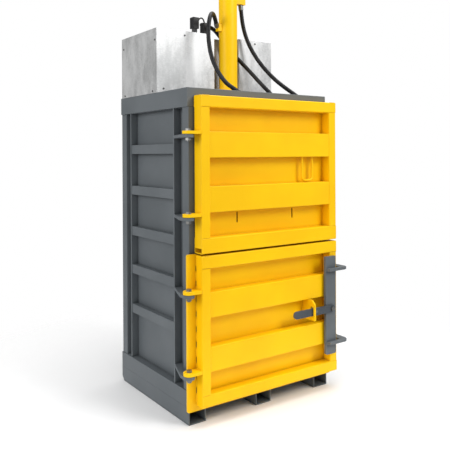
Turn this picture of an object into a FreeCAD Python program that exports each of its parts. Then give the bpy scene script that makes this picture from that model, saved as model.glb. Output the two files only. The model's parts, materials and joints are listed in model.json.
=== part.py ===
import FreeCAD, Part
import math
import os

V = FreeCAD.Vector
os.makedirs("parts", exist_ok=True)

# A vertical recycling baler: a welded steel body with a feed door above and a bale door
# below, a hydraulic cylinder that pushes a platen down through the chamber, and a
# power unit under a sheet cover on the roof.
# Millimetres. X runs right along the front, Y runs back, Z is up, and the origin is on
# the floor at the centre of the footprint.

# ---- Driving sizes -----------------------------------------------------------------
BODY_WIDTH = 1120.0
BODY_DEPTH = 905.0
BODY_HEIGHT = 2000.0

# Base
SKID_WIDTH = 120.0
SKID_HEIGHT = 100.0
SKID_WALL = 6.0
SKID_CHAMFER = 30.0
BASE_BEAM_HEIGHT = 100.0
FLOOR_PLATE = 8.0
BEARER_WIDTH = 80.0
BEARER_OFFSET = 130.0

# Posts, skins and side bays
BEAM_WALL = 6.0
BEAM_CORNER = 4.0
POST_DEPTH = 70.0
POST_SET_IN = 6.0
POST_WIDTH = 56.0
SKIN = 6.0
UPRIGHT = 12.0
FRONT_BAY = 98.5
REAR_BAY = 64.5
SIDE_RIB_HEIGHT = 60.0
SIDE_RIB_SHY = 4.0
RIB_SHEET = 4.0
RIB_SHARES = (0.8528, 0.6866, 0.5199, 0.3632, 0.2012)

# Roof
TOP_BEAM_HEIGHT = 115.0
TOP_BEAM_WIDTH = 70.0
ROOF_PLATE = 8.0
CROSSBEAM_WIDTH = 50.0
CROSSBEAM_HEIGHT = 100.0
CROSSBEAM_OFFSET = 95.0
TANK_BEAM_Y = 315.0

# Doors
DOOR_GAP = 5.5
DOOR_DEPTH = 82.0
DOOR_STILE = 60.0
DOOR_WALL = 5.0
DOOR_CORNER = 6.0
OPEN_END = 26.0
DOOR_SKIN = 6.0
DOOR_LEFT_MARGIN = 43.0
DOOR_RIGHT_OVERHANG = 14.0
DOOR_RIB_SHY = 6.0
DOORS_APART = 12.0
UPPER_DOOR_BELOW_TOP = 50.0
UPPER_DOOR_SHARE = 0.466
UPPER_TOP_RAIL = 70.0
UPPER_BOTTOM_RAIL = 92.0
UPPER_RIBS = ((0.2575, 154.0), (0.6052, 155.0))
STRAP_SLOTS = (-210.0, 240.0)
STRAP_SLOT_WIDTH = 10.0
STRAP_SLOT_HEIGHT = 67.0
LOWER_DOOR_BOTTOM = 120.0
LOWER_TOP_RAIL = 76.0
LOWER_BOTTOM_RAIL = 70.0
LOWER_RIBS = ((0.2246, 147.0), (0.5847, 150.0))
DOOR_PLATE = 12.0
DOOR_PLATE_BELOW = 37.0
DOOR_PLATE_ABOVE = 6.0
DOOR_PLATE_CORNER = 12.0

# Pull handle of the upper door
HANDLE_BAR = 16.0
HANDLE_IN = 260.0
HANDLE_WIDTH = 90.0
HANDLE_DROP = 157.0
HANDLE_BEND = 26.0

# Hinges
HINGE_OUT = 27.0
HINGE_FORWARD = 52.5
LUG = 18.0
LUG_ROUND = 35.0
FRAME_LUG_ROUND = 33.0
HINGE_BOLT = 20.0
HINGE_HEAD = 12.5
HINGE_NUT = 16.0
HINGE_HEX = 30.0
HINGE_WASHER = 2.4
HINGE_CLEARANCE = 0.05
FACE_CLEARANCE = 0.3
UPPER_HINGES = (0.2457, 0.7639)
LOWER_HINGES = (0.2359, 0.7664)

# Door lock
LOCK_BAR_IN = 107.0
LOCK_BAR_WIDTH = 93.0
LOCK_BAR_THICK = 18.0
LOCK_BAR_SPAN = (0.1467, 0.8894)
LOCK_BAR_CORNER = 14.0
LOCK_BAR_STANDOFF = 4.0
HOOK_SHARES = (0.2257, 0.7810)
HOOK_THICK = 18.0
HOOK_REACH = 28.0
HOOK_CLEAR = 8.0
HOOK_LEG = 57.0
HOOK_WRAP = 190.0
HOOK_TRAVEL = 38.0
KEEPER_PLATE = 16.0
KEEPER_PIN = 24.0
KEEPER_PIN_HEIGHT = 44.0
KEEPER_PIN_OUT = 51.0
KEEPER_PIN_BACK = 22.5
KEEPER_SPARE = 12.0
PIN_HOLE_CLEARANCE = 2.0
LEVER_IN = 398.0
LEVER_HEIGHT = 48.0
LEVER_THICK = 12.0
LEVER_SHARE = 0.4955
LEVER_PIVOT_IN = 200.0
LEVER_BOLT_IN = 60.0
LEVER_BOLT = 16.0
LEVER_PIVOT_STUD = 32.0
LEVER_PIVOT_PIN = 18.0
GUIDE_IN = 239.0
GUIDE_THICK = 12.0
GUIDE_RIM = 12.0
GUIDE_WINDOW = 24.0

# Cylinder and ram
CYLINDER_Y = -80.0
BARREL_DIAMETER = 127.0
BARREL_WALL = 8.0
BARREL_LENGTH = 970.0
BARREL_BELOW_TOP = 120.0
END_CAP = 30.0
GLAND_LENGTH = 80.0
GLAND_COLLAR = 18.0
ROD_DIAMETER = 80.0
RUNNING = 0.05
PISTON_LENGTH = 55.0
PISTON_SET_DOWN = 25.0
SPIGOT_DIAMETER = 50.0
FLANGE_WIDTH = 210.0
FLANGE_DEPTH = 220.0
FLANGE_THICK = 25.0
FLANGE_BOLT = 20.0
FLANGE_BOLT_X = 80.0
PLATEN_BELOW_TOP = 298.0
PLATEN_PLATE = 12.0
PLATEN_SIDE_GAP = 10.0
PLATEN_FRONT_GAP = 18.0
PLATEN_REAR_GAP = 11.0
PLATEN_BEAM_WIDTH = 60.0
PLATEN_BEAM_HEIGHT = 100.0
PLATEN_BEAM_OFFSET = 120.0
PLATEN_RIM_HEIGHT = 80.0
PLATEN_RIM = 10.0
SHOE_LENGTH = 60.0
ROD_FOOT_DIAMETER = 176.0
ROD_FOOT = 20.0

# Ports and hoses
HOSE_DIAMETER = 28.0
FERRULE_DIAMETER = 33.0
FERRULE_LENGTH = 36.0
PORT_REACH = 92.0
LOWER_PORT_Z = 2470.0
UPPER_PORT_Z = 2650.0
HOSE_BLOCK_LEFT = 420.0
HOSE_BLOCK_PORT_Z = 1925.0
CABLE_DIAMETER = 10.0

# Power unit and cover
COVER_SHEET = 1.5
COVER_HEIGHT = 418.0
COVER_FRONT_Y = -78.0
COVER_FRONT_RIGHT_Y = -45.0
COVER_RIGHT_X = 412.0
COVER_REAR_Y = 436.0
RECESS_HALF = 115.0
RECESS_BACK_Y = 50.0
LID_OPENING = (-292.0, -117.5, -60.0, 74.0)
SCREW_DIAMETER = 12.0
TANK_IN = 76.0
TANK_WIDTH = 349.0
TANK_FRONT = -60.0
TANK_DEPTH = 405.0
TANK_HEIGHT = 329.0
TANK_WALL = 3.0
TANK_LID = 8.0
VALVE_BLOCK = (-285.0, -121.0, -45.0, 62.0, 82.0)
COIL_SIDE = 48.0
COIL_PLACES = ((-224.0, 2460.0, 75.0), (-142.0, 2432.0, 74.0))
MOTOR_DIAMETER = 180.0

# ---- Derived places -----------------------------------------------------------------
SIDE_X = BODY_WIDTH / 2
FRONT_Y = -BODY_DEPTH / 2
REAR_Y = BODY_DEPTH / 2
BASE_TOP = SKID_HEIGHT + BASE_BEAM_HEIGHT
BEAM_BOTTOM = BODY_HEIGHT - TOP_BEAM_HEIGHT
POST_OUT = SIDE_X - POST_SET_IN
POST_IN = POST_OUT - POST_WIDTH
SKIN_OUT = POST_IN + SKIN
FRONT_POST_BACK = FRONT_Y + POST_DEPTH
REAR_POST_FRONT = REAR_Y - POST_DEPTH
UPRIGHT_FRONT = (FRONT_POST_BACK + FRONT_BAY, FRONT_POST_BACK + FRONT_BAY + UPRIGHT)
UPRIGHT_REAR = (REAR_POST_FRONT - REAR_BAY - UPRIGHT, REAR_POST_FRONT - REAR_BAY)
REAR_SKIN_BACK = REAR_Y - POST_DEPTH + 20.0
REAR_SKIN_FRONT = REAR_SKIN_BACK - SKIN


def along(low, high, share):
    """A whole millimetre at this share of the way from low to high."""
    return float(round(low + share * (high - low)))


RIB_HEIGHTS = [along(BASE_TOP, BEAM_BOTTOM, share) for share in RIB_SHARES]
PLATEN_TOP = BODY_HEIGHT - PLATEN_BELOW_TOP
TANK_LEFT = -SIDE_X + TANK_IN

DOOR_BACK = FRONT_Y - DOOR_GAP
DOOR_FRONT = DOOR_BACK - DOOR_DEPTH
DOOR_LEFT = -SIDE_X + DOOR_LEFT_MARGIN
DOOR_RIGHT = SIDE_X + DOOR_RIGHT_OVERHANG
STILE_LEFT_IN = DOOR_LEFT + DOOR_STILE
STILE_RIGHT_IN = DOOR_RIGHT - DOOR_STILE
RIB_FRONT = DOOR_FRONT + DOOR_RIB_SHY
UPPER_TOP = BODY_HEIGHT - UPPER_DOOR_BELOW_TOP
UPPER_BOTTOM = UPPER_TOP - along(0, BODY_HEIGHT, UPPER_DOOR_SHARE)
LOWER_TOP = UPPER_BOTTOM - DOORS_APART
PLATE_FRONT = DOOR_BACK - DOOR_PLATE
PLATE_LEFT = -SIDE_X - 18.0

HINGE_X = -SIDE_X - HINGE_OUT
HINGE_Y = FRONT_Y - HINGE_FORWARD
LUG_SPACE = HINGE_WASHER + 2 * FACE_CLEARANCE
HINGE_LEVELS = [along(UPPER_BOTTOM, UPPER_TOP, share) for share in UPPER_HINGES]
HINGE_LEVELS += [along(LOWER_DOOR_BOTTOM, LOWER_TOP, share) for share in LOWER_HINGES]
HANDLE_LEFT = SIDE_X - HANDLE_IN

LOCK_BAR_LEFT = SIDE_X - LOCK_BAR_IN
LOCK_BAR_RIGHT = LOCK_BAR_LEFT + LOCK_BAR_WIDTH
LOCK_BAR_BOTTOM, LOCK_BAR_TOP = [along(LOWER_DOOR_BOTTOM, LOWER_TOP, share)
                                 for share in LOCK_BAR_SPAN]
HOOK_HEIGHTS = [along(LOWER_DOOR_BOTTOM, LOWER_TOP, share) for share in HOOK_SHARES]
KEEPER_PIN_X = SIDE_X + KEEPER_PIN_OUT
KEEPER_PIN_Y = FRONT_Y + KEEPER_PIN_BACK
LOCK_BAR_BACK = DOOR_FRONT - LOCK_BAR_STANDOFF
LOCK_BAR_FRONT = LOCK_BAR_BACK - LOCK_BAR_THICK
LEVER_BACK = LOCK_BAR_FRONT - FACE_CLEARANCE
LEVER_FRONT = LEVER_BACK - LEVER_THICK
LEVER_LEFT = SIDE_X - LEVER_IN
LEVER_PIVOT_X = SIDE_X - LEVER_PIVOT_IN
LEVER_BOLT_X = SIDE_X - LEVER_BOLT_IN
LEVER_Z = along(LOWER_DOOR_BOTTOM, LOWER_TOP, LEVER_SHARE)
GUIDE_X = SIDE_X - GUIDE_IN
LEVER_ARM = LEVER_BOLT_X - LEVER_PIVOT_X
LEVER_SWING = HOOK_TRAVEL / LEVER_ARM

BARREL_R = BARREL_DIAMETER / 2
BORE_R = BARREL_R - BARREL_WALL
BARREL_BOTTOM = BODY_HEIGHT - BARREL_BELOW_TOP
BARREL_TOP = BARREL_BOTTOM + BARREL_LENGTH
CROSSBEAM_BOTTOM = BEAM_BOTTOM + ROOF_PLATE
CROSSBEAM_TOP = CROSSBEAM_BOTTOM + CROSSBEAM_HEIGHT
FLANGE_TOP = CROSSBEAM_TOP + FLANGE_THICK
COVER_TOP = BODY_HEIGHT + COVER_HEIGHT
TANK_TOP = CROSSBEAM_TOP + TANK_HEIGHT
VALVE_BOTTOM = TANK_TOP + TANK_LID
VALVE_TOP = VALVE_BOTTOM + VALVE_BLOCK[4]


# ---- Helpers ------------------------------------------------------------------------
def save(node, *solids):
    """Writes one node, of one solid or of several separate ones."""
    shape = solids[0] if len(solids) == 1 else Part.makeCompound(list(solids))
    shape.exportStep("parts/" + node + ".step")


def block(x0, x1, y0, y1, z0, z1):
    return Part.makeBox(x1 - x0, y1 - y0, z1 - z0, V(x0, y0, z0))


def rod(radius, start, end):
    """A round bar between two points."""
    start, end = V(*start), V(*end)
    return Part.makeCylinder(radius, (end - start).Length, start, end - start)


def edges_along(shape, axis):
    """The straight edges that run along one axis, 0 for X, 1 for Y and 2 for Z."""
    found = []
    for edge in shape.Edges:
        a, b = edge.Vertexes[0].Point, edge.Vertexes[-1].Point
        step = [abs(b[i] - a[i]) for i in range(3)]
        if step[axis] > 1e-6 and max(step[i] for i in range(3) if i != axis) < 1e-6:
            found.append(edge)
    return found


def box_tube(x0, x1, y0, y1, z0, z1, axis, wall, corner):
    """A rectangular hollow section with rounded outer corners, open at both ends."""
    outer = block(x0, x1, y0, y1, z0, z1)
    outer = outer.makeFillet(corner, edges_along(outer, axis))
    low, high = [x0, y0, z0], [x1, y1, z1]
    for i in range(3):
        low[i] += 0 if i == axis else wall
        high[i] -= 0 if i == axis else wall
    return outer.cut(block(low[0], high[0], low[1], high[1], low[2], high[2]))


def end_plug(x, y0, y1, z0, z1, wall, inward):
    """A plate that closes the end of a hollow section which runs along X."""
    return block(min(x, x + inward * wall), max(x, x + inward * wall),
                 y0 + wall, y1 - wall, z0 + wall, z1 - wall)


def flat_shape(points, z0, z1):
    """A plate with this outline in plan."""
    wire = Part.makePolygon([V(x, y, z0) for x, y in points + [points[0]]])
    return Part.Face(wire).extrude(V(0, 0, z1 - z0))


def hexagon(across, x, y, z0, z1):
    """A hexagonal prism standing on z0."""
    reach = across / math.sqrt(3)
    points = [(x + reach * math.cos(math.radians(60 * i)),
               y + reach * math.sin(math.radians(60 * i))) for i in range(6)]
    return flat_shape(points, z0, z1)


def channel_rib(x0, x1, y_face, y_back, z0, z1, sheet):
    """A folded rib: a front face with a flange above and below it."""
    outer = block(x0, x1, y_face, y_back, z0, z1)
    bend = edges_along(outer, 0)
    bend = [e for e in bend if abs(e.Vertexes[0].Point.y - y_face) < 1e-6]
    outer = outer.makeFillet(sheet, bend)
    return outer.cut(block(x0, x1, y_face + sheet, y_back, z0 + sheet, z1 - sheet))


def side_rib(x_skin, x_face, y0, y1, z0, z1, sheet):
    """A folded rib of a side bay, with its face outwards."""
    outward = 1 if x_face > x_skin else -1
    low, high = sorted((x_skin, x_face))
    inner_low, inner_high = sorted((x_skin, x_face - outward * sheet))
    outer = block(low, high, y0, y1, z0, z1)
    return outer.cut(block(inner_low, inner_high, y0, y1, z0 + sheet, z1 - sheet))


def cord_tube(name, points, diameter):
    """A hose: straight runs joined by arcs, each as large as its two runs allow."""
    points = [V(*p) for p in points]
    edges, radii, last = [], [], points[0]
    for before, at, after in zip(points, points[1:], points[2:]):
        back, on = before - at, after - at
        turn = math.pi - back.getAngle(on)
        reach = 0.45 * min(back.Length, on.Length)
        radius = reach / math.tan(turn / 2)
        back.normalize()
        on.normalize()
        inward = back + on
        inward.normalize()
        start, end = at + back * reach, at + on * reach
        middle = at + inward * (radius / math.cos(turn / 2) - radius)
        edges.append(Part.LineSegment(last, start).toShape())
        edges.append(Part.Arc(start, middle, end).toShape())
        radii.append(radius)
        last = end
    edges.append(Part.LineSegment(last, points[-1]).toShape())
    path = Part.Wire(edges)
    ring = Part.Wire(Part.makeCircle(diameter / 2, points[0], points[1] - points[0]))
    tube = path.makePipeShell([ring], True, False)
    expected = math.pi * diameter ** 2 / 4 * path.Length
    print(name, "length", round(path.Length, 1), "radii", [round(r) for r in radii],
          "volume ratio", round(tube.Volume / expected, 4))
    return tube


def ferrule(at, towards):
    """A crimped hose end: from the port at one end to the hose at the other."""
    direction = V(*towards)
    direction.normalize()
    return Part.makeCylinder(FERRULE_DIAMETER / 2, FERRULE_LENGTH, V(*at), direction)


def mirrored_block(side, x_in, x_out, y0, y1, z0, z1):
    return block(min(side * x_in, side * x_out), max(side * x_in, side * x_out),
                 y0, y1, z0, z1)


# ---- Base ---------------------------------------------------------------------------
def skid(x0):
    tube = box_tube(x0, x0 + SKID_WIDTH, FRONT_Y, REAR_Y, 0, SKID_HEIGHT, 1,
                    SKID_WALL, BEAM_CORNER / 2)
    wedge = Part.Face(Part.makePolygon([
        V(x0, REAR_Y, 0), V(x0, REAR_Y, SKID_CHAMFER),
        V(x0, REAR_Y - SKID_CHAMFER, 0), V(x0, REAR_Y, 0)]))
    return tube.cut(wedge.extrude(V(SKID_WIDTH, 0, 0)))


def make_base():
    save("skid_left", skid(-SIDE_X))
    save("skid_centre", skid(-SKID_WIDTH / 2))
    save("skid_right", skid(SIDE_X - SKID_WIDTH))
    sides = [box_tube(min(s * SKIN_OUT, s * SIDE_X), max(s * SKIN_OUT, s * SIDE_X),
                      FRONT_Y, REAR_Y, SKID_HEIGHT, BASE_TOP, 1, BEAM_WALL,
                      BEAM_CORNER / 2) for s in (-1, 1)]
    ends = [box_tube(-SKIN_OUT, SKIN_OUT, y0, y0 + POST_DEPTH, SKID_HEIGHT, BASE_TOP, 0,
                     BEAM_WALL, BEAM_CORNER) for y0 in (FRONT_Y, REAR_POST_FRONT)]
    plugs = [block(min(s * (SKIN_OUT + BEAM_WALL), s * (SIDE_X - BEAM_WALL)),
                   max(s * (SKIN_OUT + BEAM_WALL), s * (SIDE_X - BEAM_WALL)),
                   y0, y0 + BEAM_WALL, SKID_HEIGHT + BEAM_WALL, BASE_TOP - BEAM_WALL)
             for s in (-1, 1) for y0 in (FRONT_Y, REAR_Y - BEAM_WALL)]
    bearers = [box_tube(-SKIN_OUT, SKIN_OUT, y - BEARER_WIDTH / 2, y + BEARER_WIDTH / 2,
                        SKID_HEIGHT, BASE_TOP, 0, BEAM_WALL, BEAM_CORNER)
               for y in (-BEARER_OFFSET, BEARER_OFFSET)]
    save("base_beams", *sides, *ends, *bearers, *plugs)
    save("floor_plate", block(-POST_IN, POST_IN, FRONT_Y, REAR_SKIN_FRONT,
                              BASE_TOP, BASE_TOP + FLOOR_PLATE))


# ---- Posts, skins and bays ----------------------------------------------------------
def make_walls():
    posts = []
    for side in (-1, 1):
        for y0 in (FRONT_Y, REAR_POST_FRONT):
            posts.append(box_tube(
                min(side * POST_IN, side * POST_OUT), max(side * POST_IN, side * POST_OUT),
                y0, y0 + POST_DEPTH, BASE_TOP, BEAM_BOTTOM, 2, BEAM_WALL, BEAM_CORNER))
    save("corner_posts", *posts)
    for side, name in ((-1, "left"), (1, "right")):
        save("side_skin_" + name, mirrored_block(
            side, POST_IN, SKIN_OUT, FRONT_POST_BACK, REAR_POST_FRONT,
            BASE_TOP, BEAM_BOTTOM))
    uprights, ribs = [], []
    for side in (-1, 1):
        for y0, y1 in (UPRIGHT_FRONT, UPRIGHT_REAR):
            uprights.append(mirrored_block(side, SKIN_OUT, POST_OUT, y0, y1,
                                           BASE_TOP, BEAM_BOTTOM))
        for z in RIB_HEIGHTS:
            ribs.append(side_rib(
                side * SKIN_OUT, side * (POST_OUT - SIDE_RIB_SHY), UPRIGHT_FRONT[1],
                UPRIGHT_REAR[0], z - SIDE_RIB_HEIGHT / 2, z + SIDE_RIB_HEIGHT / 2,
                RIB_SHEET))
    save("side_uprights", *uprights)
    save("side_ribs", *ribs)
    save("rear_skin", block(-POST_IN, POST_IN, REAR_SKIN_FRONT, REAR_SKIN_BACK,
                            BASE_TOP, BEAM_BOTTOM))
    rear = []
    for z in RIB_HEIGHTS:
        z0, z1 = z - SIDE_RIB_HEIGHT / 2, z + SIDE_RIB_HEIGHT / 2
        outer = block(-POST_IN, POST_IN, REAR_SKIN_BACK, REAR_Y - SIDE_RIB_SHY, z0, z1)
        rear.append(outer.cut(block(-POST_IN, POST_IN, REAR_SKIN_BACK,
                                    REAR_Y - SIDE_RIB_SHY - RIB_SHEET,
                                    z0 + RIB_SHEET, z1 - RIB_SHEET)))
    save("rear_ribs", *rear)


# ---- Roof ---------------------------------------------------------------------------
def crossbeam(y):
    return box_tube(-SIDE_X + TOP_BEAM_WIDTH, SIDE_X - TOP_BEAM_WIDTH,
                    y - CROSSBEAM_WIDTH / 2, y + CROSSBEAM_WIDTH / 2,
                    CROSSBEAM_BOTTOM, CROSSBEAM_TOP, 0, BEAM_WALL, BEAM_CORNER)


def flange_bolt_places():
    return [(x, CYLINDER_Y + y) for x in (-FLANGE_BOLT_X, FLANGE_BOLT_X)
            for y in (-CROSSBEAM_OFFSET, CROSSBEAM_OFFSET)]


def make_roof():
    ends = [box_tube(-SIDE_X, SIDE_X, y0, y0 + TOP_BEAM_WIDTH, BEAM_BOTTOM, BODY_HEIGHT,
                     0, BEAM_WALL, BEAM_CORNER)
            for y0 in (FRONT_Y, REAR_Y - TOP_BEAM_WIDTH)]
    sides = [box_tube(min(s * SIDE_X, s * (SIDE_X - TOP_BEAM_WIDTH)),
                      max(s * SIDE_X, s * (SIDE_X - TOP_BEAM_WIDTH)),
                      FRONT_Y + TOP_BEAM_WIDTH, REAR_Y - TOP_BEAM_WIDTH,
                      BEAM_BOTTOM, BODY_HEIGHT, 1, BEAM_WALL, BEAM_CORNER)
             for s in (-1, 1)]
    plugs = [end_plug(-s * SIDE_X, y0, y0 + TOP_BEAM_WIDTH, BEAM_BOTTOM, BODY_HEIGHT,
                      BEAM_WALL, s)
             for s in (-1, 1) for y0 in (FRONT_Y, REAR_Y - TOP_BEAM_WIDTH)]
    save("top_beams", *ends, *sides, *plugs)
    plate = block(-SIDE_X + TOP_BEAM_WIDTH, SIDE_X - TOP_BEAM_WIDTH,
                  FRONT_Y + TOP_BEAM_WIDTH, REAR_Y - TOP_BEAM_WIDTH,
                  BEAM_BOTTOM, CROSSBEAM_BOTTOM)
    hole = rod(BARREL_R + 2.5, (0, CYLINDER_Y, BEAM_BOTTOM - 1),
               (0, CYLINDER_Y, CROSSBEAM_BOTTOM + 1))
    save("roof_plate", plate.cut(hole))
    beams = [crossbeam(CYLINDER_Y - CROSSBEAM_OFFSET),
             crossbeam(CYLINDER_Y + CROSSBEAM_OFFSET), crossbeam(TANK_BEAM_Y)]
    for x, y in flange_bolt_places():
        drill = rod(FLANGE_BOLT / 2 + 0.5, (x, y, CROSSBEAM_TOP - BEAM_WALL - 1),
                    (x, y, CROSSBEAM_TOP + 1))
        beams = [beam.cut(drill) for beam in beams]
    save("roof_crossbeams", *beams)


# ---- Doors --------------------------------------------------------------------------
def door_frame(z0, z1, bottom_rail, top_rail, back, open_lower_left):
    """Two rails across the whole width and two stiles between them."""
    rails = [(z0, z0 + bottom_rail), (z1 - top_rail, z1)]
    pieces = [box_tube(DOOR_LEFT, DOOR_RIGHT, DOOR_FRONT, back, a, b, 0,
                       DOOR_WALL, DOOR_CORNER) for a, b in rails]
    pieces += [box_tube(x0, x0 + DOOR_STILE, DOOR_FRONT, back, rails[0][1], rails[1][0],
                        2, DOOR_WALL, DOOR_CORNER)
               for x0 in (DOOR_LEFT, STILE_RIGHT_IN)]
    for index, (a, b) in enumerate(rails):
        left_low = a + OPEN_END if index == 0 and open_lower_left else a
        pieces.append(end_plug(DOOR_LEFT, DOOR_FRONT, back, left_low, b, DOOR_WALL, 1))
        pieces.append(end_plug(DOOR_RIGHT, DOOR_FRONT, back, a, b, DOOR_WALL, -1))
    return pieces


def rib_span(bottom, top, place):
    """The lower and upper edge of a door's rib."""
    low = along(bottom, top, place[0])
    return low, low + place[1]


def door_ribs(bottom, top, places, back):
    spans = [rib_span(bottom, top, place) for place in places]
    return [channel_rib(STILE_LEFT_IN, STILE_RIGHT_IN, RIB_FRONT, back, low, high,
                        RIB_SHEET) for low, high in spans]


def hinge_hole(z0, z1):
    return rod(HINGE_BOLT / 2 + HINGE_CLEARANCE, (HINGE_X, HINGE_Y, z0 - 1),
               (HINGE_X, HINGE_Y, z1 + 1))


def door_lug(z):
    """A flat lug with a round end, welded to the side of the stile."""
    z0, z1 = z - LUG / 2, z + LUG / 2
    end = rod(LUG_ROUND, (HINGE_X, HINGE_Y, z0), (HINGE_X, HINGE_Y, z1))
    arm = block(HINGE_X, DOOR_LEFT, HINGE_Y - LUG_ROUND, HINGE_Y + LUG_ROUND, z0, z1)
    return end.fuse(arm).removeSplitter().cut(hinge_hole(z0, z1))


def make_upper_door():
    skin_front = DOOR_BACK - DOOR_SKIN - 2.0
    skin_back = skin_front + DOOR_SKIN
    save("upper_door_frame", *door_frame(UPPER_BOTTOM, UPPER_TOP, UPPER_BOTTOM_RAIL,
                                         UPPER_TOP_RAIL, DOOR_BACK, True))
    skin = block(STILE_LEFT_IN, STILE_RIGHT_IN, skin_front, skin_back,
                 UPPER_BOTTOM + UPPER_BOTTOM_RAIL, UPPER_TOP - UPPER_TOP_RAIL)
    slot_top = rib_span(UPPER_BOTTOM, UPPER_TOP, UPPER_RIBS[0])[0] - 13.0
    for x in STRAP_SLOTS:
        cut = block(x - STRAP_SLOT_WIDTH / 2, x + STRAP_SLOT_WIDTH / 2, skin_front - 1,
                    skin_back + 1, slot_top - STRAP_SLOT_HEIGHT, slot_top)
        skin = skin.cut(cut.makeFillet(STRAP_SLOT_WIDTH * 0.45, edges_along(cut, 1)))
    save("upper_door_skin", skin)
    save("upper_door_ribs", *door_ribs(UPPER_BOTTOM, UPPER_TOP, UPPER_RIBS,
                                        skin_front))
    save("upper_door_lugs", *[door_lug(z) for z in HINGE_LEVELS[:2]])
    handle_top = rib_span(UPPER_BOTTOM, UPPER_TOP, UPPER_RIBS[1])[0]
    handle_y = (RIB_FRONT + skin_front) / 2
    left, right = HANDLE_LEFT, HANDLE_LEFT + HANDLE_WIDTH
    low = handle_top - HANDLE_DROP
    bend = HANDLE_BEND
    corner = bend * (1 - math.sqrt(0.5))
    path = Part.Wire([
        Part.LineSegment(V(left, handle_y, handle_top),
                         V(left, handle_y, low + bend)).toShape(),
        Part.Arc(V(left, handle_y, low + bend), V(left + corner, handle_y, low + corner),
                 V(left + bend, handle_y, low)).toShape(),
        Part.LineSegment(V(left + bend, handle_y, low),
                         V(right - bend, handle_y, low)).toShape(),
        Part.Arc(V(right - bend, handle_y, low), V(right - corner, handle_y, low + corner),
                 V(right, handle_y, low + bend)).toShape(),
        Part.LineSegment(V(right, handle_y, low + bend),
                         V(right, handle_y, handle_top)).toShape()])
    ring = Part.Wire(Part.makeCircle(HANDLE_BAR / 2, V(left, handle_y, handle_top),
                                     V(0, 0, 1)))
    save("upper_door_handle", path.makePipeShell([ring], True, False))


def guide_plate():
    """The upright plate that the lever passes through."""
    x0, x1 = GUIDE_X, GUIDE_X + GUIDE_THICK
    bay_low = rib_span(LOWER_DOOR_BOTTOM, LOWER_TOP, LOWER_RIBS[0])[1]
    bay_high = rib_span(LOWER_DOOR_BOTTOM, LOWER_TOP, LOWER_RIBS[1])[0]
    window_front = LEVER_FRONT - 6.0
    front = window_front - GUIDE_RIM
    low, high = bay_low + 39.0, bay_high - 1.0
    outline = [(PLATE_FRONT, low), (front, low), (front, high - 27.0),
               (front + 27.0, high), (PLATE_FRONT, high)]
    wire = Part.makePolygon([V(x0, y, z) for y, z in outline + [outline[0]]])
    plate = Part.Face(wire).extrude(V(GUIDE_THICK, 0, 0))
    reach = LEVER_PIVOT_X - x0
    rise = reach * math.tan(LEVER_SWING) + LEVER_HEIGHT / 2 / math.cos(LEVER_SWING)
    window = block(x0 - 1, x1 + 1, window_front, window_front + GUIDE_WINDOW,
                   LEVER_Z - LEVER_HEIGHT / 2 - 2.0, LEVER_Z + rise + 2.0)
    return plate.cut(window)


def make_lower_door():
    save("lower_door_frame", *door_frame(LOWER_DOOR_BOTTOM, LOWER_TOP, LOWER_BOTTOM_RAIL,
                                         LOWER_TOP_RAIL, PLATE_FRONT, False))
    plate = block(PLATE_LEFT, DOOR_RIGHT, PLATE_FRONT, DOOR_BACK,
                  LOWER_DOOR_BOTTOM - DOOR_PLATE_BELOW, LOWER_TOP + DOOR_PLATE_ABOVE)
    left = [e for e in edges_along(plate, 1)
            if abs(e.Vertexes[0].Point.x - PLATE_LEFT) < 1e-6]
    save("lower_door_plate", plate.makeFillet(DOOR_PLATE_CORNER, left))
    save("lower_door_ribs", *door_ribs(LOWER_DOOR_BOTTOM, LOWER_TOP, LOWER_RIBS,
                                        PLATE_FRONT))
    save("lower_door_lugs", *[door_lug(z) for z in HINGE_LEVELS[2:]])
    save("lever_guide", guide_plate())
    stud = rod(LEVER_PIVOT_STUD / 2, (LEVER_PIVOT_X, PLATE_FRONT, LEVER_Z),
               (LEVER_PIVOT_X, LOCK_BAR_FRONT, LEVER_Z))
    pin = rod(LEVER_PIVOT_PIN / 2, (LEVER_PIVOT_X, PLATE_FRONT, LEVER_Z),
              (LEVER_PIVOT_X, LEVER_FRONT, LEVER_Z))
    pad_back = LOCK_BAR_BACK + FACE_CLEARANCE
    save("lock_mounts", stud.fuse(pin).removeSplitter(), *[
        block(STILE_RIGHT_IN + DOOR_CORNER, LOCK_BAR_RIGHT - 4.0, pad_back, DOOR_FRONT,
              z - 30.0, z + 30.0)
        for z in (LOCK_BAR_BOTTOM + 170.0, LOCK_BAR_TOP - 170.0)])


# ---- Hinges -------------------------------------------------------------------------
def frame_lug(side_z):
    """A gusset from the side bay, past the post, to the hinge axis under the door's lug."""
    z1 = side_z - LUG / 2 - LUG_SPACE
    z0 = z1 - LUG
    plate_clear = PLATE_LEFT - 3.0
    tip = HINGE_X - FRAME_LUG_ROUND
    outline = [(-SKIN_OUT, UPRIGHT_FRONT[0]), (-SKIN_OUT, FRONT_POST_BACK),
               (-POST_OUT, FRONT_POST_BACK), (-POST_OUT, FRONT_Y),
               (plate_clear, DOOR_BACK), (plate_clear, HINGE_Y),
               (tip, HINGE_Y), (tip, FRONT_Y - 4.0), (-POST_OUT, UPRIGHT_FRONT[0])]
    end = rod(FRAME_LUG_ROUND, (HINGE_X, HINGE_Y, z0), (HINGE_X, HINGE_Y, z1))
    lug = flat_shape(outline, z0, z1).fuse(end).removeSplitter()
    return lug.cut(hinge_hole(z0, z1))


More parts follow.
